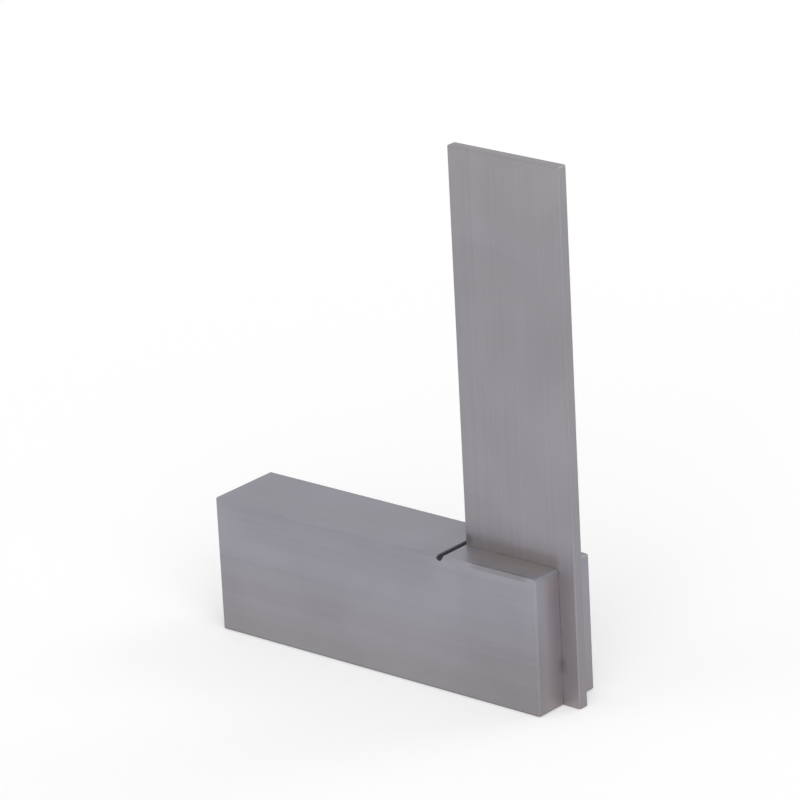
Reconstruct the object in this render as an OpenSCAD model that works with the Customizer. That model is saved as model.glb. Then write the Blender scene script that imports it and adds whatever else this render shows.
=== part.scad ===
// Engineer's try square, nominal 50 mm: a ground steel blade let into the end of a hardened stock.
// +X runs along the stock towards the blade, +Y through its thickness, +Z up the blade.
// The origin is under the middle of the square, on the face that it stands on.

/* [Stock] */
// Length of the stock along X
stock_length = 50; // [35:0.5:120]
// Height of the stock from its base to its reference face
stock_height = 17.5; // [10:0.5:40]
// Thickness of the stock
stock_thickness = 10.5; // [7:0.25:25]
// Chamfer ground on the edges of the stock
stock_chamfer = 0.3; // [0.1:0.05:1]

/* [Blade] */
// Length of the blade above the reference face, which is the square's nominal size
blade_reach = 50; // [30:1:200]
// Width of the blade between its two working edges
blade_width = 16.5; // [8:0.5:30]
// Thickness of the blade
blade_thickness = 1.5; // [1:0.1:4]
// How far the blade's outer edge stands out past the end of the stock
blade_overhang = 2.5; // [0.5:0.1:6]
// Chamfer on the edges of the blade
blade_chamfer = 0.2; // [0.05:0.05:0.4]
// Depth ground off the blade's inner edge above the stock once it is set in place
edge_grind = 0.05; // [0.02:0.01:0.1]

/* [Joint] */
// Film of braze between the blade and each wall of its slot
braze_film = 0.05; // [0.02:0.01:0.15]
// Width of the relief groove in the inner corner
groove_width = 0.9; // [0.6:0.1:1.5]
// Depth of the relief groove to its round bottom
groove_depth = 0.6; // [0.5:0.05:1.5]

/* [Hidden] */
$fn = 48;
cut_margin = 1;
overall_length = stock_length + blade_overhang;
stock_end_x = overall_length / 2 - blade_overhang;
stock_start_x = -overall_length / 2;
blade_outer_x = overall_length / 2;
blade_inner_x = blade_outer_x - blade_width;
blade_root_x = blade_inner_x - edge_grind;
blade_height = stock_height + blade_reach;

// A rectangle from the origin with its four corners cut at 45 degrees
module eased_rectangle(width, height, chamfer) {
    polygon([
        [chamfer, 0], [width - chamfer, 0],
        [width, chamfer], [width, height - chamfer],
        [width - chamfer, height], [chamfer, height],
        [0, height - chamfer], [0, chamfer]
    ]);
}

// A block standing on z = 0 and centred on y = 0, with a chamfer on each of its twelve edges
module eased_block(length, thickness, height, chamfer) {
    intersection() {
        translate([0, -thickness / 2, 0])
            linear_extrude(height) eased_rectangle(length, thickness, chamfer);
        translate([0, thickness / 2, 0])
            rotate([90, 0, 0]) linear_extrude(thickness) eased_rectangle(length, height, chamfer);
        translate([0, -thickness / 2, 0])
            rotate([90, 0, 90]) linear_extrude(length) eased_rectangle(thickness, height, chamfer);
    }
}

// The slot that the blade is let into, open at the end, the base and the reference face
module blade_slot() {
    slot_width = blade_thickness + 2 * braze_film;
    slot_end_x = blade_root_x - braze_film;
    translate([slot_end_x, -slot_width / 2, -cut_margin])
        cube([stock_end_x - slot_end_x + cut_margin, slot_width, stock_height + 2 * cut_margin]);
}

// The relief groove across the reference face, beside the blade's inner edge
module relief_groove() {
    groove_centre_x = blade_inner_x - groove_width / 2;
    groove_run = stock_thickness + 2 * cut_margin;
    round_z = stock_height - groove_depth + groove_width / 2;
    translate([groove_centre_x, groove_run / 2, round_z]) rotate([90, 0, 0]) {
        cylinder(h = groove_run, d = groove_width);
        translate([-groove_width / 2, 0, 0])
            cube([groove_width, groove_depth + cut_margin, groove_run]);
    }
}

// The stock: a ground bar, slotted at its end for the blade
module stock() {
    color([0.58, 0.58, 0.61])
        difference() {
            translate([stock_start_x, 0, 0])
                eased_block(stock_length, stock_thickness, stock_height, stock_chamfer);
            blade_slot();
            relief_groove();
        }
}

// What the grinding of the inner edge takes off, from the reference face to the blade's free end
module ground_off() {
    translate([blade_root_x - cut_margin, -blade_thickness / 2 - cut_margin, stock_height])
        cube([edge_grind + cut_margin, blade_thickness + 2 * cut_margin, blade_reach + cut_margin]);
}

// The blade: one ground strip that reaches from the base of the stock to its free end
module blade() {
    color([0.60, 0.60, 0.62])
        difference() {
            translate([blade_root_x, 0, 0])
                eased_block(blade_width + edge_grind, blade_thickness, blade_height, blade_chamfer);
            ground_off();
        }
}

stock();
blade();
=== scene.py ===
"""Looks of an engineer's try square: ground steel finishes, a pale floor and soft studio light."""

import logging
import math
from dataclasses import dataclass
from enum import Enum

import bmesh
import bpy
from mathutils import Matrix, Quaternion, Vector


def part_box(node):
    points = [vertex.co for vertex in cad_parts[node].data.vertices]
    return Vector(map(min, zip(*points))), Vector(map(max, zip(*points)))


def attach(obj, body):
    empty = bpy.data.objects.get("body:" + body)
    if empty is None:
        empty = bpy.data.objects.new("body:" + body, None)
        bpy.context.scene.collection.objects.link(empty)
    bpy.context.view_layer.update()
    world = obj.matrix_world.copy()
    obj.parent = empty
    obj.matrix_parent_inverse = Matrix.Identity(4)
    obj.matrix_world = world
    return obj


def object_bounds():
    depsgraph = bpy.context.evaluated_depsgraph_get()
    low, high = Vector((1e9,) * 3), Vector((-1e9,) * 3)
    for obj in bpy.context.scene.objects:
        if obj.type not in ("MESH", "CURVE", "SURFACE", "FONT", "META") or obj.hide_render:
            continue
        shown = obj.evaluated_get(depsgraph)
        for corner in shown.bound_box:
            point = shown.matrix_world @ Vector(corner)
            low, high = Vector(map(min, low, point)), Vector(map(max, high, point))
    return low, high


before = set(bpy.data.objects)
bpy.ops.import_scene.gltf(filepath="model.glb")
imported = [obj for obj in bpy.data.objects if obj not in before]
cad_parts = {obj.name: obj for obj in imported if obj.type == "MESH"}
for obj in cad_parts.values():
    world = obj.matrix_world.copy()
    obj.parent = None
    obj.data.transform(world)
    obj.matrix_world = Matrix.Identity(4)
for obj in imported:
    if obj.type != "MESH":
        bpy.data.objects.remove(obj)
CAD_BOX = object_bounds()

LOG = logging.getLogger("try_square")
MM = 0.001

# The chamfer is ground on the stock, and over the braze in its slot too
STOCK_CHAMFER = 0.3 * MM
# The width above the stock, where the blade's inner edge is ground
BLADE_WIDTH = 16.5 * MM

# A noise swings about its middle and hardly leaves the first range. Roughness is read from
# patches over the second.
NOISE_MIDDLE = 0.5
NOISE_REACH = (0.3, 0.7)
PATCH_REACH = (0.35, 0.65)

Place = tuple[float, float, float]
Colour = tuple[float, float, float]
Socket = bpy.types.NodeSocket

ZERO = (0.0, 0.0, 0.0)
NO_TINT = (1.0, 1.0, 1.0)


def mm(x: float, y: float, z: float) -> Place:
    """Turns a place or three sizes from millimetres into metres."""
    return (x * MM, y * MM, z * MM)


def off(start: Vector, x: float, y: float, z: float) -> Place:
    """Gives the place that lies some millimetres off another."""
    return tuple(start + Vector(mm(x, y, z)))


def grey(level: float) -> tuple[float, float, float, float]:
    """Gives a grey as a colour socket takes it, with its alpha."""
    return (level, level, level, 1.0)


def add_object(name: str, data: bpy.types.ID) -> bpy.types.Object:
    """Puts new data into the scene.

    Args:
        name: Name of the object.
        data: Its mesh, light or camera.

    Returns:
        The new object, at the origin.
    """
    made = bpy.data.objects.new(name, data)
    bpy.context.scene.collection.objects.link(made)
    return made


class ValueKind(Enum):
    """What a socket carries: Blender's name of such a socket, and of such a Mix node."""

    NUMBER = ("NodeSocketFloat", "FLOAT")
    VECTOR = ("NodeSocketVector", "VECTOR")

    @property
    def socket(self) -> str:
        """Gives Blender's name of such a socket."""
        return self.value[0]

    @property
    def mix(self) -> str:
        """Gives Blender's name of such a Mix node."""
        return self.value[1]


class NodeSheet:
    """A node tree that is filled in from left to right."""

    COLUMN_WIDTH = 180.0

    def __init__(self, tree: bpy.types.NodeTree) -> None:
        """Starts an empty sheet on the tree.

        Args:
            tree: The node tree of a material, a world or a group.
        """
        self.tree = tree
        tree.nodes.clear()
        self.column = 0

    def node(self, kind: str, **settings: object) -> bpy.types.Node:
        """Adds one node.

        Args:
            kind: Blender's type name of the node.
            settings: Properties to set on it.

        Returns:
            The new node.
        """
        made = self.tree.nodes.new(kind)
        made.location = (self.COLUMN_WIDTH * self.column, 0.0)
        self.column += 1
        for key, value in settings.items():
            setattr(made, key, value)
        return made

    def feed(self, value: object, socket: Socket) -> None:
        """Links a socket into another, or sets a plain value on it.

        Args:
            value: An output socket, a number or a tuple.
            socket: The input socket that takes it.
        """
        if isinstance(value, bpy.types.NodeSocket):
            self.tree.links.new(value, socket)
        else:
            socket.default_value = value

    def fed(self, kind: str, values: tuple[object, ...], **settings: object) -> bpy.types.Node:
        """Adds one node and feeds its inputs.

        Args:
            kind: Blender's type name of the node.
            values: Sockets, numbers or tuples for the inputs that are in use, in order.
            settings: Properties to set on it.

        Returns:
            The new node.
        """
        made = self.node(kind, **settings)
        in_use = [socket for socket in made.inputs if socket.enabled]
        for value, socket in zip(values, in_use):
            self.feed(value, socket)
        return made

    def math(self, operation: str, *values: object) -> Socket:
        """Works on numbers, by Blender's name of the operation."""
        return self.fed("ShaderNodeMath", values, operation=operation).outputs["Value"]

    def product(self, *factors: object) -> Socket:
        """Multiplies numbers.

        Args:
            factors: Two or more sockets or numbers.

        Returns:
            The product.
        """
        result, *rest = factors
        for factor in rest:
            result = self.math("MULTIPLY", result, factor)
        return result

    def swing(self, noise: Socket) -> Socket:
        """Gives how far a noise is above its middle, or below it as a negative number."""
        return self.math("SUBTRACT", noise, NOISE_MIDDLE)

    def vector(self, operation: str, *values: object) -> Socket:
        """Works on vectors, by Blender's name of the operation, and gives a vector."""
        return self.fed("ShaderNodeVectorMath", values, operation=operation).outputs["Vector"]

    def measure(self, operation: str, *values: object) -> Socket:
        """Works on vectors, by Blender's name of the operation, and gives a number."""
        return self.fed("ShaderNodeVectorMath", values, operation=operation).outputs["Value"]

    def scaled(self, vector: object, factor: object) -> Socket:
        """Multiplies a vector by a number."""
        return self.vector("SCALE", vector, factor)

    def mix(self, kind: ValueKind, share: object, first: object, second: object) -> Socket:
        """Mixes two values of one kind, by the share of the second."""
        made = self.fed("ShaderNodeMix", (share, first, second), data_type=kind.mix)
        return next(socket for socket in made.outputs if socket.enabled)

    def remap(self, value: object, low: float, high: float, at_low: float, at_high: float) -> Socket:
        """Eases from one range to another and holds its ends.

        Args:
            value: Socket to remap.
            low: Value that becomes at_low.
            high: Value that becomes at_high.
            at_low: Result at low and below.
            at_high: Result at high and above.

        Returns:
            The remapped value.
        """
        values = (value, low, high, at_low, at_high)
        made = self.fed("ShaderNodeMapRange", values, interpolation_type="SMOOTHSTEP")
        return made.outputs["Result"]

    def vary(self, noise: Socket, middle: float, either_way: float) -> Socket:
        """Turns a noise into a value that goes either way from a middle."""
        return self.remap(noise, *NOISE_REACH, middle - either_way, middle + either_way)

    def noise(
        self, point: object, scale: object, detail: float, roughness: float = 0.5, seed: object = None
    ) -> bpy.types.Node:
        """Adds a noise.

        Args:
            point: Where it is read.
            scale: One over the size of its patches.
            detail: How many finer layers it has.
            roughness: Share that each finer layer keeps.
            seed: Fourth coordinate, or None for a noise in three.

        Returns:
            The noise's node.
        """
        made = self.node("ShaderNodeTexNoise", noise_dimensions="3D" if seed is None else "4D")
        self.feed(point, made.inputs["Vector"])
        self.feed(scale, made.inputs["Scale"])
        made.inputs["Detail"].default_value = detail
        made.inputs["Roughness"].default_value = roughness
        if seed is not None:
            self.feed(seed, made.inputs["W"])
        return made

    def xyz(self, point: Socket) -> tuple[Socket, Socket, Socket]:
        """Splits a point into its three coordinates."""
        return tuple(self.fed("ShaderNodeSeparateXYZ", (point,)).outputs)

    def bump(self, height: Socket, distance: float) -> Socket:
        """Turns a height into a normal.

        Args:
            height: The height, from 0 to 1.
            distance: What a height of 1 measures, in metres.

        Returns:
            The normal.
        """
        made = self.node("ShaderNodeBump")
        made.inputs["Distance"].default_value = distance
        self.feed(height, made.inputs["Height"])
        return made.outputs["Normal"]

    def metal(self, colour: Socket, roughness: Socket, normal: Socket) -> bpy.types.Node:
        """Adds a metal's shader, as the surface.

        Args:
            colour: Its base colour.
            roughness: Its roughness.
            normal: Its normal.

        Returns:
            The shader's node, whose plain values are left to the finish.
        """
        shader = self.node("ShaderNodeBsdfPrincipled")
        self.feed(colour, shader.inputs["Base Color"])
        self.feed(roughness, shader.inputs["Roughness"])
        self.feed(normal, shader.inputs["Normal"])
        self.fed("ShaderNodeOutputMaterial", (shader.outputs["BSDF"],))
        return shader


def blank_material(name: str) -> tuple[bpy.types.Material, NodeSheet]:
    """Makes a material with an empty sheet.

    Args:
        name: Name of the material.

    Returns:
        The material and its sheet.
    """
    material = bpy.data.materials.new(name)
    material.use_nodes = True
    return material, NodeSheet(material.node_tree)


@dataclass(frozen=True)
class Port:
    """One socket of a shader node group.

    Attributes:
        name: Its name.
        kind: What it carries.
        value: What it holds until something is fed in, or None for Blender's own value.
    """

    name: str
    kind: ValueKind
    value: object = None


class EffectGroup:
    """A shader node group that several finishes share.

    Attributes:
        name: Name of the group.
        inputs: Its inputs, in order.
        outputs: Its outputs, in order.
    """

    name = ""
    inputs: tuple[Port, ...] = ()
    outputs: tuple[Port, ...] = ()

    def __init__(self) -> None:
        """Builds the group once, with its named inputs and outputs."""
        self.tree = bpy.data.node_groups.new(self.name, "ShaderNodeTree")
        for port in self.inputs:
            socket = self.tree.interface.new_socket(
                port.name, in_out="INPUT", socket_type=port.kind.socket
            )
            if port.value is not None:
                socket.default_value = port.value
        for port in self.outputs:
            self.tree.interface.new_socket(port.name, in_out="OUTPUT", socket_type=port.kind.socket)
        self.sheet = NodeSheet(self.tree)
        self.ports_in = self.sheet.node("NodeGroupInput")
        results = self.draw()
        ports_out = self.sheet.node("NodeGroupOutput")
        for name, socket in results.items():
            self.sheet.feed(socket, ports_out.inputs[name])

    def draw(self) -> dict[str, Socket]:
        """Adds the group's own nodes and gives the socket that feeds each output, by name."""
        raise NotImplementedError

    def port(self, name: str) -> Socket:
        """Gives the socket of one input inside the group."""
        return self.ports_in.outputs[name]

    def place(self, sheet: NodeSheet, **values: object) -> bpy.types.NodeOutputs:
        """Places the group in a material.

        Args:
            sheet: The material's sheet.
            values: Sockets or values for the inputs, by name with _ for a space.

        Returns:
            The outputs of the group's node, by name.
        """
        made = sheet.node("ShaderNodeGroup", node_tree=self.tree)
        for key, value in values.items():
            sheet.feed(value, made.inputs[key.replace("_", " ")])
        return made.outputs


class GrindLines(EffectGroup):
    """Fine parallel lines left by the wheel, in three widths."""

    name = "grind_lines"
    inputs = (
        Port("Point", ValueKind.VECTOR),
        Port("Facing", ValueKind.VECTOR),
        Port("Feed", ValueKind.VECTOR, (1.0, 0.0, 0.0)),
        Port("End Feed", ValueKind.VECTOR, (0.0, 0.0, 1.0)),
        Port("Pitch", ValueKind.NUMBER, 0.22 * MM),
        Port("Length", ValueKind.NUMBER, 40.0 * MM),
    )
    outputs = (Port("Lines", ValueKind.NUMBER), Port("Bands", ValueKind.NUMBER))

    # A face cuts across the feed where its normal leans towards the feed by more than this
    END_FACE = 0.8
    # Width in pitches and length in lengths of each layer
    FINE = (1.0, 1.0)
    COARSE = (2.6, 1.6)
    BROAD = (12.0, 2.4)
    COARSE_SHARE = 0.3
    DETAIL = 2.0
    ROUGHNESS = 0.55

    def draw(self) -> dict[str, Socket]:
        """Stretches noise along the feed, or along the end feed on faces that cut across it.

        Returns:
            The sockets of Lines and Bands.
        """
        sheet = self.sheet
        lean = sheet.measure("DOT_PRODUCT", self.port("Facing"), self.port("Feed"))
        is_end = sheet.math("GREATER_THAN", sheet.math("ABSOLUTE", lean), self.END_FACE)
        axis = sheet.mix(ValueKind.VECTOR, is_end, self.port("Feed"), self.port("End Feed"))
        distance = sheet.measure("DOT_PRODUCT", self.port("Point"), axis)
        along = sheet.scaled(axis, distance)
        across = sheet.vector("SUBTRACT", self.port("Point"), along)
        fine = self.stretched(across, along, *self.FINE)
        coarse = self.stretched(across, along, *self.COARSE)
        broad = self.stretched(across, along, *self.BROAD)
        return {
            "Lines": sheet.mix(ValueKind.NUMBER, self.COARSE_SHARE, fine, coarse),
            "Bands": broad,
        }

    def stretched(self, across: Socket, along: Socket, wider: float, longer: float) -> Socket:
        """Adds one layer of noise, wide by pitch and long by length.

        Args:
            across: Part of the point that lies across the lines.
            along: Part of the point that lies along them.
            wider: How many pitches wide the layer's lines are.
            longer: How many lengths long they are.

        Returns:
            The noise, from 0 to 1.
        """
        sheet = self.sheet
        in_pitches = sheet.scaled(across, sheet.math("DIVIDE", 1.0 / wider, self.port("Pitch")))
        in_lengths = sheet.scaled(along, sheet.math("DIVIDE", 1.0 / longer, self.port("Length")))
        point = sheet.vector("ADD", in_pitches, in_lengths)
        return sheet.noise(point, 1.0, self.DETAIL, self.ROUGHNESS).outputs["Fac"]


class EdgeWearAndShade(EffectGroup):
    """A mask of the outer edges of a block, where hands and work wear the steel, and where the edges
    get a painted shade.
    """

    name = "edge_wear_and_shade"
    inputs = (
        Port("Point", ValueKind.VECTOR),
        Port("Low Corner", ValueKind.VECTOR),
        Port("High Corner", ValueKind.VECTOR),
        Port("Chamfer", ValueKind.NUMBER, 0.3 * MM),
        Port("Width", ValueKind.NUMBER, 0.15 * MM),
        Port("Unevenness", ValueKind.NUMBER, 0.5),
    )
    outputs = (Port("Mask", ValueKind.NUMBER),)

    WANDER_SIZE = 1.5 * MM
    DETAIL = 3.0

    def draw(self) -> dict[str, Socket]:
        """Measures how far the point lies from the second nearest face of the block.

        Returns:
            The socket of Mask.
        """
        sheet = self.sheet
        width = self.port("Width")
        from_low = sheet.vector("SUBTRACT", self.port("Point"), self.port("Low Corner"))
        from_high = sheet.vector("SUBTRACT", self.port("High Corner"), self.port("Point"))
        x, y, z = sheet.xyz(sheet.vector("MINIMUM", from_low, from_high))
        lesser = sheet.math("MINIMUM", x, y)
        greater = sheet.math("MAXIMUM", x, y)
        second = sheet.math("MAXIMUM", lesser, sheet.math("MINIMUM", greater, z))
        noise = sheet.noise(self.port("Point"), 1.0 / self.WANDER_SIZE, self.DETAIL)
        ragged = sheet.swing(noise.outputs["Fac"])
        wander = sheet.product(self.port("Unevenness"), width, ragged)
        reach = sheet.math("ADD", sheet.math("ADD", self.port("Chamfer"), width), wander)
        into_face = sheet.math("DIVIDE", sheet.math("SUBTRACT", reach, second), width)
        return {"Mask": sheet.remap(into_face, 0.0, 1.0, 0.0, 1.0)}


class HandlingMarks(EffectGroup):
    """Broad, faint changes of tone, and a thin scatter of hairline scratches."""

    name = "handling_marks"
    inputs = (
        Port("Point", ValueKind.VECTOR),
        Port("Patch Size", ValueKind.NUMBER, 9.0 * MM),
        Port("Seed", ValueKind.NUMBER, 0.0),
    )
    outputs = (Port("Patches", ValueKind.NUMBER), Port("Scratches", ValueKind.NUMBER))

    PATCH_DETAIL = 4.0
    PATCH_SWIRL = 0.6
    SCRATCH_SPACING = 3.4 * MM
    SCRATCH_DETAIL = 1.0
    # Half the width of a scratch, in the noise that it is cut from
    SCRATCH_WIDTH = 0.005
    # Patches above these values have scratches
    SCRATCHED_FROM = 0.52
    SCRATCHED_TO = 0.62

    def draw(self) -> dict[str, Socket]:
        """Takes one noise for the patches and cuts thin bands out of another for the scratches.

        Returns:
            The sockets of Patches and Scratches.
        """
        sheet = self.sheet
        point, seed = self.port("Point"), self.port("Seed")
        rate = sheet.math("DIVIDE", 1.0, self.port("Patch Size"))
        cloud = sheet.noise(point, rate, self.PATCH_DETAIL, seed=seed)
        cloud.inputs["Distortion"].default_value = self.PATCH_SWIRL
        patches = cloud.outputs["Fac"]
        lie = sheet.noise(point, 1.0 / self.SCRATCH_SPACING, self.SCRATCH_DETAIL, seed=seed)
        off_line = sheet.math("ABSOLUTE", sheet.swing(lie.outputs["Fac"]))
        hair = sheet.remap(off_line, 0.0, self.SCRATCH_WIDTH, 1.0, 0.0)
        some = sheet.remap(patches, self.SCRATCHED_FROM, self.SCRATCHED_TO, 0.0, 1.0)
        return {"Patches": patches, "Scratches": sheet.product(hair, some)}


class FilmAndPaintedLightMask(EffectGroup):
    """A mask that is full over a box and fades out past it, with a ragged edge, for films and for
    painted shade and light.
    """

    name = "film_and_painted_light_mask"
    inputs = (
        Port("Point", ValueKind.VECTOR),
        Port("Centre", ValueKind.VECTOR),
        Port("Core", ValueKind.VECTOR, mm(5.0, 5.0, 5.0)),
        Port("Fade", ValueKind.VECTOR, mm(5.0, 5.0, 5.0)),
        Port("Raggedness", ValueKind.NUMBER, 0.3),
    )
    outputs = (Port("Mask", ValueKind.NUMBER),)

    RAG_SIZE = 3.0 * MM
    DETAIL = 3.0

    def draw(self) -> dict[str, Socket]:
        """Measures how far the point lies past the box, in fades, and lets noise eat the edge.

        Returns:
            The socket of Mask.
        """
        sheet = self.sheet
        off = sheet.vector("SUBTRACT", self.port("Point"), self.port("Centre"))
        past = sheet.vector("SUBTRACT", sheet.vector("ABSOLUTE", off), self.port("Core"))
        outside = sheet.vector("MAXIMUM", past, ZERO)
        away = sheet.measure("LENGTH", sheet.vector("DIVIDE", outside, self.port("Fade")))
        noise = sheet.noise(self.port("Point"), 1.0 / self.RAG_SIZE, self.DETAIL)
        ragged = sheet.product(sheet.swing(noise.outputs["Fac"]), self.port("Raggedness"))
        return {"Mask": sheet.remap(sheet.math("ADD", away, ragged), 0.0, 1.0, 1.0, 0.0)}


@dataclass(frozen=True)
class Effects:
    """The shared node groups, built once.

    Attributes:
        lines: Grinding lines.
        edges: Wear along the edges, and the painted shade on them.
        marks: Marks of handling.
        films_and_painted_light: Films that have settled on a place, and painted shade and light.
    """

    lines: GrindLines
    edges: EdgeWearAndShade
    marks: HandlingMarks
    films_and_painted_light: FilmAndPaintedLightMask


class GrindAxis(Enum):
    """The way that a piece was fed under the grinding wheel, in the square's own frame."""

    ALONG_STOCK = (1.0, 0.0, 0.0)
    UP_BLADE = (0.0, 0.0, 1.0)
    THROUGH = (0.0, 1.0, 0.0)


@dataclass(frozen=True)
class Block:
    """The block that a piece was ground to, in metres.

    Attributes:
        low: Its lowest corner.
        high: Its highest corner.
        chamfer: Width of the chamfer on its edges.
    """

    low: Place
    high: Place
    chamfer: float


@dataclass(frozen=True)
class Groove:
    """The relief groove in the inner corner of the square, in metres.

    Attributes:
        start_x: Where it starts along the stock.
        end_x: Where it ends, at the blade's inner edge.
        mouth_z: Height of the reference face that it is cut in.
        search_depth: How far under the mouth its wall is looked for, well past its bottom.
        margin: How far past its sides the wall is looked for, and how far under the mouth.
        lip_tone: Tone at the ground lip.
        unground_and_shaded_bottom: Tone of the dark, unground bottom, darkened further by painted shade
            in the recess.
        shade_from: Depth at which the tone starts to fall.
        shade_to: Depth at which it is the bottom's.
        roughness: Roughness of its wall.
    """

    start_x: float
    end_x: float
    mouth_z: float
    search_depth: float = 2.0 * MM
    margin: float = 0.02 * MM
    lip_tone: float = 0.95
    # Unground steel, darkened further by painted shade in the recess
    unground_and_shaded_bottom: float = 0.22
    shade_from: float = 0.06 * MM
    shade_to: float = 0.30 * MM
    roughness: float = 0.7

    # A wall of the groove leans towards the sides of the stock by less than this
    SIDE_FACE = 0.5

    def mask(self, sheet: NodeSheet, point: Socket, facing: Socket) -> Socket:
        """Marks the wall of the groove, which lies between two planes and under the mouth.

        Args:
            sheet: The material's sheet.
            point: The point's Object coordinates.
            facing: The face's normal.

        Returns:
            A mask that is 1 inside the groove.
        """
        x, _, z = sheet.xyz(point)
        lean = sheet.measure("DOT_PRODUCT", facing, GrindAxis.THROUGH.value)
        return sheet.product(
            sheet.math("GREATER_THAN", x, self.start_x - self.margin),
            sheet.math("LESS_THAN", x, self.end_x + self.margin),
            sheet.math("LESS_THAN", z, self.mouth_z - self.margin),
            sheet.math("GREATER_THAN", z, self.mouth_z - self.search_depth),
            sheet.math("LESS_THAN", sheet.math("ABSOLUTE", lean), self.SIDE_FACE),
        )

    def tone(self, sheet: NodeSheet, point: Socket) -> Socket:
        """Darkens the groove with depth, from its ground lip down to its bottom: unground steel, with
        painted shade in the recess.
        """
        depth = sheet.math("SUBTRACT", self.mouth_z, sheet.xyz(point)[2])
        return sheet.remap(depth, self.shade_from, self.shade_to, self.lip_tone, self.unground_and_shaded_bottom)


@dataclass(frozen=True)
class FilmAndPaintedLight:
    """A tint laid over one place, sizes in metres: a heat tint that has settled there, a painted shade
    or a painted light.

    Attributes:
        centre: Middle of the place.
        core: Half sizes of the part that is covered in full.
        fade: How far the film fades out past that part.
        tint: What each colour is multiplied by where the tint is full.
        rougher: What it adds to the roughness where it is thick.
        raggedness: How ragged its edge is, as a share of its fade.
    """

    centre: Place
    core: Place
    fade: Place
    tint: Colour
    rougher: float = 0.0
    raggedness: float = 0.3


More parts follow.
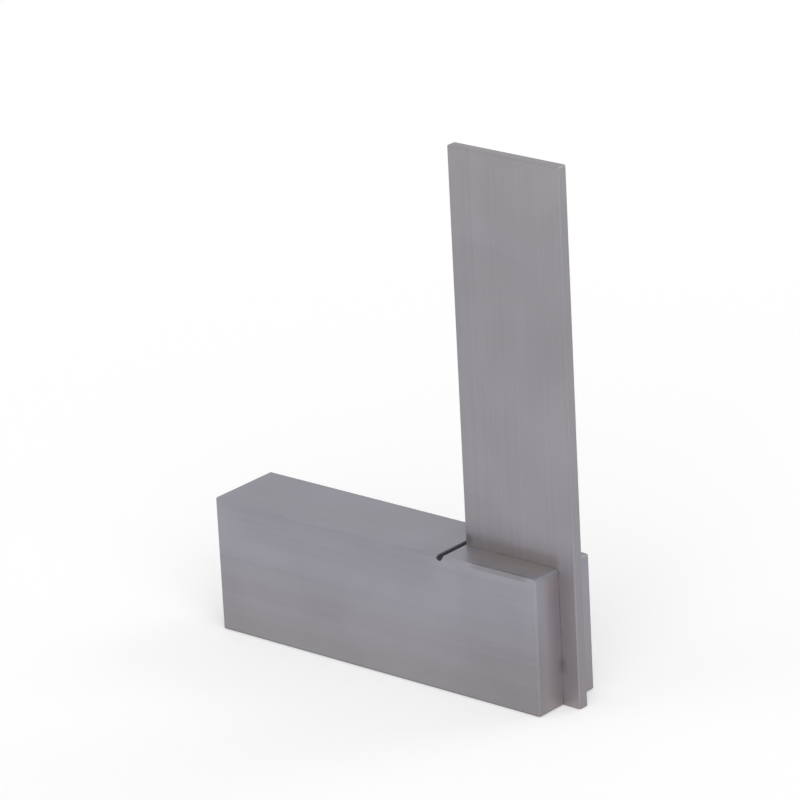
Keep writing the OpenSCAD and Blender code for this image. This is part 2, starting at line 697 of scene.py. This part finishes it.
@dataclass(frozen=True)
class GroundSteel:
    """Hardened steel off the surface grinder, with fine lines along one axis.

    Attributes:
        name: Name of the material.
        colour: Linear colour of the bare steel.
        roughness: Roughness between the lines.
        feed: Axis that the grinding lines run along on the long faces.
        end_feed: Axis that they run along on the faces that cut across feed.
        films_and_painted_light: The films that have settled on the piece, and the painted shade and
            light on it.
        line_pitch: Typical distance between two fine lines, in metres.
        line_length: Typical length of a line, in metres.
        line_depth: Height of the bump that the lines make, in metres.
        line_tone: How far the fine lines vary the tone either way, as a share.
        line_rough: How far they vary the roughness either way.
        band_tone: How far the broad bands vary the tone either way, as a share.
        patch_size: Typical size of a patch of handling, in metres.
        patch_tone: How far the patches vary the tone either way, as a share.
        patch_rough: What they add to the roughness at the least and at the most.
        scratch_tone: How much lighter a scratch is, as a share.
        scratch_rough: What a scratch adds to the roughness.
        scratch_depth: Depth of a scratch, as a share of line_depth.
        mark_seed: Seed of the patches and scratches.
        edge_width: How far the wear of handling, and the painted shade on the edges, reach in from an
            edge, in metres.
        edge_unevenness: How far that width wanders, as a share.
        painted_edge_light: How much lighter the edges are painted than the faces, as a share, or darker
            below 0; at -0.07 it is a painted shade that tones down the chamfers' highlights.
        edge_rough: What the edges add to the roughness.
        metallic: Share of the surface that is bare metal, the rest being haze and oil film.
        grazing: Reflectance near grazing, as a share of a white edge.
    """

    name: str
    colour: Colour
    roughness: float
    feed: GrindAxis
    end_feed: GrindAxis
    films_and_painted_light: tuple[FilmAndPaintedLight, ...]
    line_pitch: float = 0.22 * MM
    line_length: float = 40.0 * MM
    line_depth: float = 0.0009 * MM
    line_tone: float = 0.045
    line_rough: float = 0.06
    band_tone: float = 0.015
    patch_size: float = 9.0 * MM
    patch_tone: float = 0.04
    patch_rough: tuple[float, float] = (-0.03, 0.04)
    scratch_tone: float = 0.05
    scratch_rough: float = 0.08
    scratch_depth: float = 0.5
    mark_seed: float = 0.0
    edge_width: float = 0.15 * MM
    edge_unevenness: float = 0.5
    # Painted shade on the edges, which tones down the chamfers' highlights
    painted_edge_light: float = -0.07
    edge_rough: float = 0.06
    metallic: float = 0.6
    grazing: float = 0.75

    def material(
        self, effects: Effects, block: Block, groove: Groove | None
    ) -> bpy.types.Material:
        """Makes the material of one ground piece.

        Args:
            effects: The shared node groups.
            block: The block that the piece was ground to.
            groove: A groove with an unground wall, or None.

        Returns:
            The material.
        """
        material, sheet = blank_material(self.name)
        point = sheet.node("ShaderNodeTexCoord").outputs["Object"]
        facing = sheet.node("ShaderNodeNewGeometry").outputs["True Normal"]
        lines = effects.lines.place(
            sheet,
            Point=point,
            Facing=facing,
            Feed=self.feed.value,
            End_Feed=self.end_feed.value,
            Pitch=self.line_pitch,
            Length=self.line_length,
        )
        marks = effects.marks.place(
            sheet, Point=point, Patch_Size=self.patch_size, Seed=self.mark_seed
        )
        edge = effects.edges.place(
            sheet,
            Point=point,
            Low_Corner=block.low,
            High_Corner=block.high,
            Chamfer=block.chamfer,
            Width=self.edge_width,
            Unevenness=self.edge_unevenness,
        )["Mask"]
        tone = self.bare_tone(sheet, lines, marks, edge)
        rough = self.bare_roughness(sheet, lines, marks, edge)
        colour, rough = self.cover(sheet, effects.films_and_painted_light, point, rough)
        # The groove's wall is darker with depth: unground steel, with painted shade in the recess
        if groove is not None:
            inside = groove.mask(sheet, point, facing)
            tone = sheet.mix(ValueKind.NUMBER, inside, tone, groove.tone(sheet, point))
            rough = sheet.mix(ValueKind.NUMBER, inside, rough, groove.roughness)
        dips = sheet.product(marks["Scratches"], self.scratch_depth)
        height = sheet.math("SUBTRACT", lines["Lines"], dips)
        normal = sheet.bump(height, self.line_depth)
        shader = sheet.metal(sheet.scaled(colour, tone), rough, normal)
        shader.inputs["Metallic"].default_value = self.metallic
        shader.inputs["Specular Tint"].default_value = grey(self.grazing)
        return material

    def bare_tone(
        self, sheet: NodeSheet, lines: bpy.types.NodeOutputs, marks: bpy.types.NodeOutputs, edge: Socket
    ) -> Socket:
        """Works out how light each place is, from lines, patches and scratches, and the painted shade
        on the edges.

        Args:
            sheet: The material's sheet.
            lines: The grinding lines.
            marks: The marks of handling.
            edge: Mask of the edges.

        Returns:
            The share that the colour is multiplied by.
        """
        return sheet.product(
            sheet.vary(lines["Lines"], 1.0, self.line_tone),
            sheet.vary(lines["Bands"], 1.0, self.band_tone),
            sheet.vary(marks["Patches"], 1.0, self.patch_tone),
            # Painted shade on the edges
            sheet.remap(edge, 0.0, 1.0, 1.0, 1.0 + self.painted_edge_light),
            sheet.remap(marks["Scratches"], 0.0, 1.0, 1.0, 1.0 + self.scratch_tone),
        )

    def bare_roughness(
        self, sheet: NodeSheet, lines: bpy.types.NodeOutputs, marks: bpy.types.NodeOutputs, edge: Socket
    ) -> Socket:
        """Works out how rough each place is under the films.

        Args:
            sheet: The material's sheet.
            lines: The grinding lines.
            marks: The marks of handling.
            edge: Mask of the edges.

        Returns:
            The roughness.
        """
        ground = sheet.vary(lines["Lines"], self.roughness, self.line_rough)
        handled = sheet.remap(marks["Patches"], *PATCH_REACH, *self.patch_rough)
        scratched = sheet.product(marks["Scratches"], self.scratch_rough)
        face = sheet.math("ADD", sheet.math("ADD", ground, handled), scratched)
        return sheet.mix(ValueKind.NUMBER, edge, face, self.roughness + self.edge_rough)

    def cover(
        self, sheet: NodeSheet, settled: FilmAndPaintedLightMask, point: Socket, rough: Socket
    ) -> tuple[object, Socket]:
        """Lays the films and the painted shade and light over the bare steel.

        Args:
            sheet: The material's sheet.
            settled: The shared node group that masks each film and each painted shade or light.
            point: The point's Object coordinates.
            rough: Roughness of the bare steel.

        Returns:
            The colour and the roughness with the films and the painted shade and light on.
        """
        colour = self.colour
        for film in self.films_and_painted_light:
            mask = settled.place(
                sheet,
                Point=point,
                Centre=film.centre,
                Core=film.core,
                Fade=film.fade,
                Raggedness=film.raggedness,
            )["Mask"]
            tint = sheet.mix(ValueKind.VECTOR, mask, NO_TINT, film.tint)
            colour = sheet.vector("MULTIPLY", colour, tint)
            rough = sheet.math("ADD", rough, sheet.product(mask, film.rougher))
        return colour, rough


STOCK_LOW, STOCK_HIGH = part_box("stock")
BLADE_LOW, BLADE_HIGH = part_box("blade")
INNER_X = BLADE_HIGH.x - BLADE_WIDTH

# Places that the films and the painted shade and light are measured from: in the middle of the square's
# thickness
BASE_MIDDLE = Vector((0.0, 0.0, STOCK_LOW.z))
INNER_CORNER = Vector((INNER_X, 0.0, STOCK_HIGH.z))
STOCK_END = Vector((STOCK_HIGH.x, 0.0, STOCK_LOW.z))
OUTER_EDGE = Vector((BLADE_HIGH.x, 0.0, STOCK_LOW.z))
# On the front of the stock
STOCK_SHELF = Vector((INNER_X, STOCK_LOW.y, STOCK_HIGH.z))
STOCK_TOE = Vector((STOCK_HIGH.x, STOCK_LOW.y, STOCK_LOW.z))
# On the front of the blade
BLADE_CORNER = Vector((INNER_X, BLADE_LOW.y, STOCK_HIGH.z))
BLADE_END = Vector((STOCK_HIGH.x, BLADE_LOW.y, STOCK_LOW.z))

# Painted shade, darker and warmer towards the base, where the steel reflects the shaded floor beside
# it; a touch rougher there too
BASE_SHADE = FilmAndPaintedLight(
    centre=off(BASE_MIDDLE, 0.0, 0.0, 0.0),
    core=mm(60.0, 60.0, 1.0),
    fade=mm(20.0, 20.0, 13.0),
    tint=(0.95, 0.92, 0.87),
    rougher=0.02,
)
# Painted shade low on the front of the stock, towards its end, where it reflects the shaded floor; a
# touch rougher there too
TOE_SHADE = FilmAndPaintedLight(
    centre=off(STOCK_TOE, 4.25, 0.05, 0.0),
    core=mm(5.0, 0.2, 4.5),
    fade=mm(20.0, 1.5, 13.0),
    tint=(0.90, 0.89, 0.88),
    rougher=0.02,
)
# Painted shade over the upper face of the stock, which tones down its bright grazing reflection
TOP_FACE_SHADE = FilmAndPaintedLight(
    centre=off(INNER_CORNER, -18.75, 0.0, 0.1),
    core=mm(14.0, 10.0, 0.2),
    fade=mm(5.5, 5.0, 6.0),
    tint=(0.94, 0.94, 0.945),
)
# Darker band on the upper face of the stock, beside the groove
GROOVE_SIDE_DARKENING = FilmAndPaintedLight(
    centre=off(INNER_CORNER, -1.55, 0.0, 0.1),
    core=mm(0.8, 10.0, 0.2),
    fade=mm(3.5, 5.0, 0.35),
    tint=(0.93, 0.93, 0.93),
)
# Heat tint on the stock beside the blade
JOINT_FILM = FilmAndPaintedLight(
    centre=off(INNER_CORNER, 8.15, 0.0, 0.0),
    core=mm(4.6, 0.8, 0.6),
    fade=mm(1.8, 5.5, 1.6),
    tint=(1.10, 1.02, 0.88),
    rougher=0.03,
)
# Painted shade on the chamfer in front of the joint, beside the shaded pocket at the blade
LIP_SHADE = FilmAndPaintedLight(
    centre=off(STOCK_SHELF, 8.55, 0.15, -0.1),
    core=mm(3.1, 0.3, 0.2),
    fade=mm(1.8, 0.4, 0.3),
    tint=(0.80, 0.79, 0.77),
)
# Painted shade in the crease along the foot of the blade, with a warm heat tint; a touch rougher there
# too
FOOT_HEAT_TINT_AND_SHADE = FilmAndPaintedLight(
    centre=off(INNER_CORNER, 6.95, 0.0, 0.0),
    core=mm(6.4, 2.0, 0.9),
    fade=mm(1.4, 1.0, 1.3),
    tint=(0.83, 0.81, 0.76),
    rougher=0.03,
)
# Darker across the middle of the blade
MID_BLADE_DARKENING = FilmAndPaintedLight(
    centre=off(INNER_CORNER, 8.25, 0.0, 31.5),
    core=mm(20.0, 5.0, 6.0),
    fade=mm(10.0, 5.0, 12.0),
    tint=(0.945, 0.945, 0.95),
)
# Painted shade over the lower part of the blade, where it reflects the shaded floor and stock
LOW_BLADE_SHADE = FilmAndPaintedLight(
    centre=off(INNER_CORNER, 8.25, 0.0, 2.5),
    core=mm(20.0, 5.0, 4.0),
    fade=mm(5.0, 5.0, 26.0),
    tint=(0.97, 0.965, 0.975),
)
# Painted light in the corner between the blade and the end of the stock, which lifts the shade of the
# reflections there
END_CORNER_LIGHT = FilmAndPaintedLight(
    centre=off(STOCK_END, 0.85, 0.0, 8.0),
    core=mm(1.2, 3.0, 7.0),
    fade=mm(0.6, 2.5, 3.0),
    tint=(1.10, 1.05, 1.03),
)
# Darker along the lower part of the blade's outer edge
OUTER_EDGE_DARKENING = FilmAndPaintedLight(
    centre=off(OUTER_EDGE, 0.15, 0.0, 0.0),
    core=mm(0.15, 5.0, 5.0),
    fade=mm(0.25, 5.0, 34.0),
    tint=(0.88, 0.88, 0.89),
)
# Small dark spot on the blade, in the inner corner
CORNER_DARK_SPOT = FilmAndPaintedLight(
    centre=off(BLADE_CORNER, 0.55, 0.0, 0.9),
    core=mm(0.1, 0.3, 0.1),
    fade=mm(0.6, 0.3, 0.8),
    tint=(0.72, 0.72, 0.74),
)
# Small dark spot where the blade leaves the end of the stock
END_DARK_SPOT = FilmAndPaintedLight(
    centre=off(BLADE_END, 0.05, 0.0, 5.2),
    core=mm(0.2, 0.2, 0.3),
    fade=mm(0.7, 0.9, 1.3),
    tint=(0.80, 0.81, 0.84),
)
# Spot of heat tint on the end of the stock
HEAT_STAIN = FilmAndPaintedLight(
    centre=off(BLADE_END, 0.05, -1.15, 15.4),
    core=mm(0.2, 0.3, 0.4),
    fade=mm(0.7, 1.2, 1.4),
    tint=(1.02, 0.95, 0.91),
)

STOCK_STEEL = GroundSteel(
    name="ground_stock_steel",
    colour=(0.296, 0.292, 0.329),
    roughness=0.43,
    feed=GrindAxis.ALONG_STOCK,
    end_feed=GrindAxis.UP_BLADE,
    films_and_painted_light=(
        BASE_SHADE,
        TOE_SHADE,
        TOP_FACE_SHADE,
        GROOVE_SIDE_DARKENING,
        JOINT_FILM,
        LIP_SHADE,
        END_CORNER_LIGHT,
        END_DARK_SPOT,
        HEAT_STAIN,
    ),
)
BLADE_STEEL = GroundSteel(
    name="ground_blade_steel",
    colour=(0.304, 0.290, 0.311),
    roughness=0.42,
    feed=GrindAxis.UP_BLADE,
    end_feed=GrindAxis.THROUGH,
    films_and_painted_light=(
        LOW_BLADE_SHADE,
        MID_BLADE_DARKENING,
        OUTER_EDGE_DARKENING,
        FOOT_HEAT_TINT_AND_SHADE,
        END_CORNER_LIGHT,
        CORNER_DARK_SPOT,
        END_DARK_SPOT,
    ),
    line_pitch=0.19 * MM,
    line_length=55.0 * MM,
    edge_width=0.10 * MM,
)


@dataclass(frozen=True)
class BrazeMetal:
    """Silver braze that was ground off with the stock and is pitted here and there.

    Attributes:
        name: Name of the material.
        colour: Linear colour of the clean braze.
        roughness: Its roughness.
        metallic: Share of it that is bare metal.
        pit_size: Typical distance between two pits, in metres.
        pit_depth: Depth of a pit, in metres.
        pit_tone: Share of the colour that is left in a pit.
        pit_rough: Roughness in a pit.
        pit_range: Values of the noise between which a pit comes up to the face.
        detail: How many finer layers the noise has.
    """

    name: str = "silver_braze"
    colour: Colour = (0.30, 0.275, 0.235)
    roughness: float = 0.5
    metallic: float = 0.8
    pit_size: float = 1.1 * MM
    pit_depth: float = 0.01 * MM
    pit_tone: float = 0.15
    pit_rough: float = 0.8
    pit_range: tuple[float, float] = (0.42, 0.52)
    detail: float = 2.0

    def material(self) -> bpy.types.Material:
        """Makes the material.

        Returns:
            The material.
        """
        material, sheet = blank_material(self.name)
        point = sheet.node("ShaderNodeTexCoord").outputs["Object"]
        noise = sheet.noise(point, 1.0 / self.pit_size, self.detail)
        clean = sheet.remap(noise.outputs["Fac"], *self.pit_range, self.pit_tone, 1.0)
        rough = sheet.remap(clean, 0.0, 1.0, self.pit_rough, self.roughness)
        normal = sheet.bump(clean, self.pit_depth)
        shader = sheet.metal(sheet.scaled(self.colour, clean), rough, normal)
        shader.inputs["Metallic"].default_value = self.metallic
        return material


@dataclass
class SquarePiece:
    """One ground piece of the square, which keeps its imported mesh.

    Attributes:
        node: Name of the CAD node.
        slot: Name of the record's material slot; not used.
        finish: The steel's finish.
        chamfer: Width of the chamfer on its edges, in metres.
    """

    node: str
    slot: str
    finish: GroundSteel
    chamfer: float

    def groove(self) -> Groove | None:
        """Gives the groove cut in this piece, if it has one."""
        return None

    def dress(self, effects: Effects) -> bpy.types.Object:
        """Puts the finish on the piece.

        Args:
            effects: The shared node groups.

        Returns:
            The dressed object.
        """
        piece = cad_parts[self.node]
        low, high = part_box(self.node)
        block = Block(tuple(low), tuple(high), self.chamfer)
        piece.data.materials.clear()
        piece.data.materials.append(self.finish.material(effects, block, self.groove()))
        return piece


@dataclass
class Stock(SquarePiece):
    """The thick ground bar with the relief groove across its upper face.

    Attributes:
        groove_width: Width of the groove's mouth, in metres.
    """

    node: str = "stock"
    slot: str = "stock_steel"
    finish: GroundSteel = STOCK_STEEL
    chamfer: float = STOCK_CHAMFER
    groove_width: float = 0.9 * MM

    def groove(self) -> Groove:
        """Gives the groove, which ends at the inner corner."""
        return Groove(INNER_X - self.groove_width, INNER_X, STOCK_HIGH.z)


@dataclass
class Blade(SquarePiece):
    """The thin ground strip that stands in the slot of the stock."""

    node: str = "blade"
    slot: str = "blade_steel"
    finish: GroundSteel = BLADE_STEEL
    chamfer: float = 0.2 * MM


@dataclass
class BrazeSeam:
    """The film of braze that holds the blade in the slot of the stock.

    Attributes:
        film: Thickness of the film, in metres.
        recess: How far it lies under the faces of the stock, in metres.
        chamfer: Width of the chamfer on the stock's edges, in metres.
        metal: Its finish.
        body: The body that it moves with.
    """

    film: float = 0.05 * MM
    recess: float = 0.02 * MM
    chamfer: float = STOCK_CHAMFER
    metal: BrazeMetal = BrazeMetal()
    body: str = "root"

    def span(self) -> tuple[float, float, float]:
        """Gives how far the seam reaches along X, its lowest Z and its highest Z."""
        low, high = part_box("stock")
        return high.x - self.recess, low.z + self.recess, high.z - self.recess

    def build(self) -> bpy.types.Object:
        """Draws the film round the blade's root as a wall, then gives it its thickness.

        Returns:
            The seam's object.
        """
        shape = bmesh.new()
        self.raise_wall(shape)
        self.grind_corners(shape)
        bmesh.ops.recalc_face_normals(shape, faces=shape.faces)
        bmesh.ops.solidify(shape, geom=list(shape.faces), thickness=-self.film)
        bmesh.ops.recalc_face_normals(shape, faces=shape.faces)
        mesh = bpy.data.meshes.new("braze_seam")
        shape.to_mesh(mesh)
        shape.free()
        seam = add_object("braze_seam", mesh)
        mesh.materials.append(self.metal.material())
        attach(seam, self.body)
        return seam

    def raise_wall(self, shape: bmesh.types.BMesh) -> None:
        """Raises a wall on the path round the blade's root, from one end of the slot to the other.

        Args:
            shape: The mesh to draw in.
        """
        low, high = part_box("blade")
        end, bottom, top = self.span()
        path = ((end, high.y), (low.x, high.y), (low.x, low.y), (end, low.y))
        points = [shape.verts.new((x, y, bottom)) for x, y in path]
        edges = [shape.edges.new(pair) for pair in zip(points, points[1:])]
        wall = bmesh.ops.extrude_edge_only(shape, edges=edges)["geom"]
        raised = [item for item in wall if isinstance(item, bmesh.types.BMVert)]
        bmesh.ops.translate(shape, verts=raised, vec=(0.0, 0.0, top - bottom))

    def grind_corners(self, shape: bmesh.types.BMesh) -> None:
        """Cuts the wall's outer corners along the stock's chamfers.

        Args:
            shape: The mesh to cut.
        """
        end, bottom, top = self.span()
        for corner_z, slope in ((top - self.chamfer, 1.0), (bottom + self.chamfer, -1.0)):
            bmesh.ops.bisect_plane(
                shape,
                geom=[*shape.verts, *shape.edges, *shape.faces],
                plane_co=(end, 0.0, corner_z),
                plane_no=(1.0, 0.0, slope),
                clear_outer=True,
            )


def seen_directly(sheet: NodeSheet) -> Socket:
    """Tells whether a ray comes from the camera, a reflection or clear glass.

    Args:
        sheet: Sheet of the material or world.

    Returns:
        A socket that is 1 for such rays and 0 for the rest.
    """
    path = sheet.node("ShaderNodeLightPath").outputs
    seen = sheet.math("MAXIMUM", path["Is Camera Ray"], path["Is Glossy Ray"])
    return sheet.math("MAXIMUM", seen, path["Is Transmission Ray"])


def direction(azimuth: float, elevation: float) -> Vector:
    """Works out the direction from the object to a viewer or a lamp.

    Args:
        azimuth: Degrees round the object, from its front towards +X.
        elevation: Degrees above the floor.

    Returns:
        A unit vector.
    """
    turn, rise = math.radians(azimuth), math.radians(elevation)
    flat = math.cos(rise)
    return Vector((math.sin(turn) * flat, -math.cos(turn) * flat, math.sin(rise)))


@dataclass(frozen=True)
class Lamp:
    """One large soft lamp, far off.

    Attributes:
        name: Name of the lamp.
        strength: Its strength.
        azimuth: Degrees round the object that it shines from.
        elevation: Degrees above the floor that it shines from.
        spread: Its apparent size, in degrees.
    """

    name: str
    strength: float
    azimuth: float
    elevation: float
    spread: float

    def hang(self) -> None:
        """Puts the lamp into the scene."""
        data = bpy.data.lights.new(self.name, "SUN")
        data.energy = self.strength
        data.angle = math.radians(self.spread)
        lamp = add_object(self.name, data)
        lamp.rotation_mode = "QUATERNION"
        lamp.rotation_quaternion = direction(self.azimuth, self.elevation).to_track_quat("Z", "Y")


@dataclass
class Studio:
    """A pale floor, a white surround and soft light, mostly from the front.

    Attributes:
        floor_radius: Radius of the floor, in metres.
        floor_segments: Sides of the floor's round.
        floor_colour: Linear grey of the floor.
        floor_glow: Light that the floor adds where it is seen, so that it reads as white.
        white_from: Distance from the middle at which the floor starts to turn plain white.
        white_to: Distance at which it is plain white, both in metres.
        ambient: Strength of the surround as a light.
        lamps: The lamps, of which the low one lights the corner at the end of the stock.
    """

    floor_radius: float = 3.0
    floor_segments: int = 96
    floor_colour: float = 0.8
    floor_glow: float = 0.27
    white_from: float = 0.07
    white_to: float = 0.22
    ambient: float = 0.55
    lamps: tuple[Lamp, ...] = (
        Lamp("key_lamp", strength=0.9, azimuth=42.0, elevation=42.0, spread=55.0),
        Lamp("fill_lamp", strength=0.35, azimuth=-42.0, elevation=14.0, spread=45.0),
        Lamp("rim_lamp", strength=0.3, azimuth=154.0, elevation=38.0, spread=30.0),
        Lamp("low_lamp", strength=1.2, azimuth=50.0, elevation=8.0, spread=70.0),
    )

    def build(self) -> None:
        """Makes the floor, the surround and the lamps."""
        self.make_floor()
        self.make_surround()
        for lamp in self.lamps:
            lamp.hang()

    def make_floor(self) -> None:
        """Makes a round floor that keeps the shadow and turns plain white away from the object."""
        mesh = bpy.data.meshes.new("floor")
        shape = bmesh.new()
        bmesh.ops.create_circle(
            shape, cap_ends=True, segments=self.floor_segments, radius=self.floor_radius
        )
        shape.to_mesh(mesh)
        shape.free()
        floor = add_object("floor", mesh)
        mesh.materials.append(self.floor_material())

    def floor_material(self) -> bpy.types.Material:
        """Makes the floor's pale finish, with a faint glow for the camera and for reflections.

        Returns:
            The material.
        """
        material, sheet = blank_material("pale_floor")
        seen = seen_directly(sheet)
        point = sheet.node("ShaderNodeTexCoord").outputs["Object"]
        away = sheet.measure("LENGTH", point)
        far = sheet.remap(away, self.white_from, self.white_to, 0.0, 1.0)
        diffuse = sheet.node("ShaderNodeBsdfDiffuse")
        diffuse.inputs["Color"].default_value = grey(self.floor_colour)
        glow = sheet.node("ShaderNodeEmission")
        sheet.feed(sheet.product(seen, self.floor_glow), glow.inputs["Strength"])
        white = sheet.node("ShaderNodeEmission")
        near = sheet.fed("ShaderNodeAddShader", (diffuse.outputs[0], glow.outputs[0]))
        shares = (sheet.product(seen, far), near.outputs[0], white.outputs[0])
        both = sheet.fed("ShaderNodeMixShader", shares)
        sheet.fed("ShaderNodeOutputMaterial", (both.outputs[0],))
        return material

    def make_surround(self) -> None:
        """Makes a surround that is white where it is seen and a soft light elsewhere."""
        world = bpy.data.worlds.new("white_surround")
        world.use_nodes = True
        bpy.context.scene.world = world
        sheet = NodeSheet(world.node_tree)
        strength = sheet.remap(seen_directly(sheet), 0.0, 1.0, self.ambient, 1.0)
        background = sheet.fed("ShaderNodeBackground", (grey(1.0), strength))
        sheet.fed("ShaderNodeOutputWorld", (background.outputs[0],))


@dataclass(frozen=True)
class Viewpoint:
    """Where the camera stands, from the edges of the square in the photograph.

    Attributes:
        azimuth: Degrees round the object, from its front towards +X.
        elevation: Degrees above the floor.
        roll: Degrees that the camera leans about its line of sight.
        distance: Distance to the middle of the square, in metres.
        focal_length: Focal length, in millimetres.
        sensor: Width of the sensor, in millimetres.
        clip_end: How far the camera sees, in metres.
    """

    azimuth: float = 40.7
    elevation: float = 20.3
    roll: float = -3.0
    distance: float = 0.649
    focal_length: float = 245.0
    sensor: float = 36.0
    clip_end: float = 10.0

    def place_camera(self) -> bpy.types.Object:
        """Makes the camera and aims it at the middle of the square.

        Returns:
            The camera.
        """
        low, high = CAD_BOX
        toward = direction(self.azimuth, self.elevation)
        data = bpy.data.cameras.new("camera")
        data.lens = self.focal_length
        data.sensor_width = self.sensor
        data.clip_end = self.clip_end
        camera = add_object("camera", data)
        camera.location = (low + high) / 2 + toward * self.distance
        camera.rotation_mode = "QUATERNION"
        lean = Quaternion((0.0, 0.0, 1.0), math.radians(self.roll))
        camera.rotation_quaternion = toward.to_track_quat("Z", "Y") @ lean
        bpy.context.scene.camera = camera
        return camera


def main() -> None:
    """Dresses the square, adds its braze, then sets the studio and the camera."""
    logging.basicConfig(level=logging.INFO, format="%(name)s: %(message)s")
    bpy.context.scene.view_settings.view_transform = "Standard"
    effects = Effects(GrindLines(), EdgeWearAndShade(), HandlingMarks(), FilmAndPaintedLightMask())
    for piece in (Stock(), Blade()):
        dressed = piece.dress(effects)
        LOG.info("%s: dressed in %s", dressed.name, piece.finish.name)
    seam = BrazeSeam().build()
    LOG.info("%s: laid round the root of the blade", seam.name)
    studio = Studio()
    studio.build()
    LOG.info("studio: floor, surround and %d lamps", len(studio.lamps))
    camera = Viewpoint().place_camera()
    LOG.info("%s: placed at the photograph's viewing angle", camera.name)


if __name__ == "__main__":
    main()
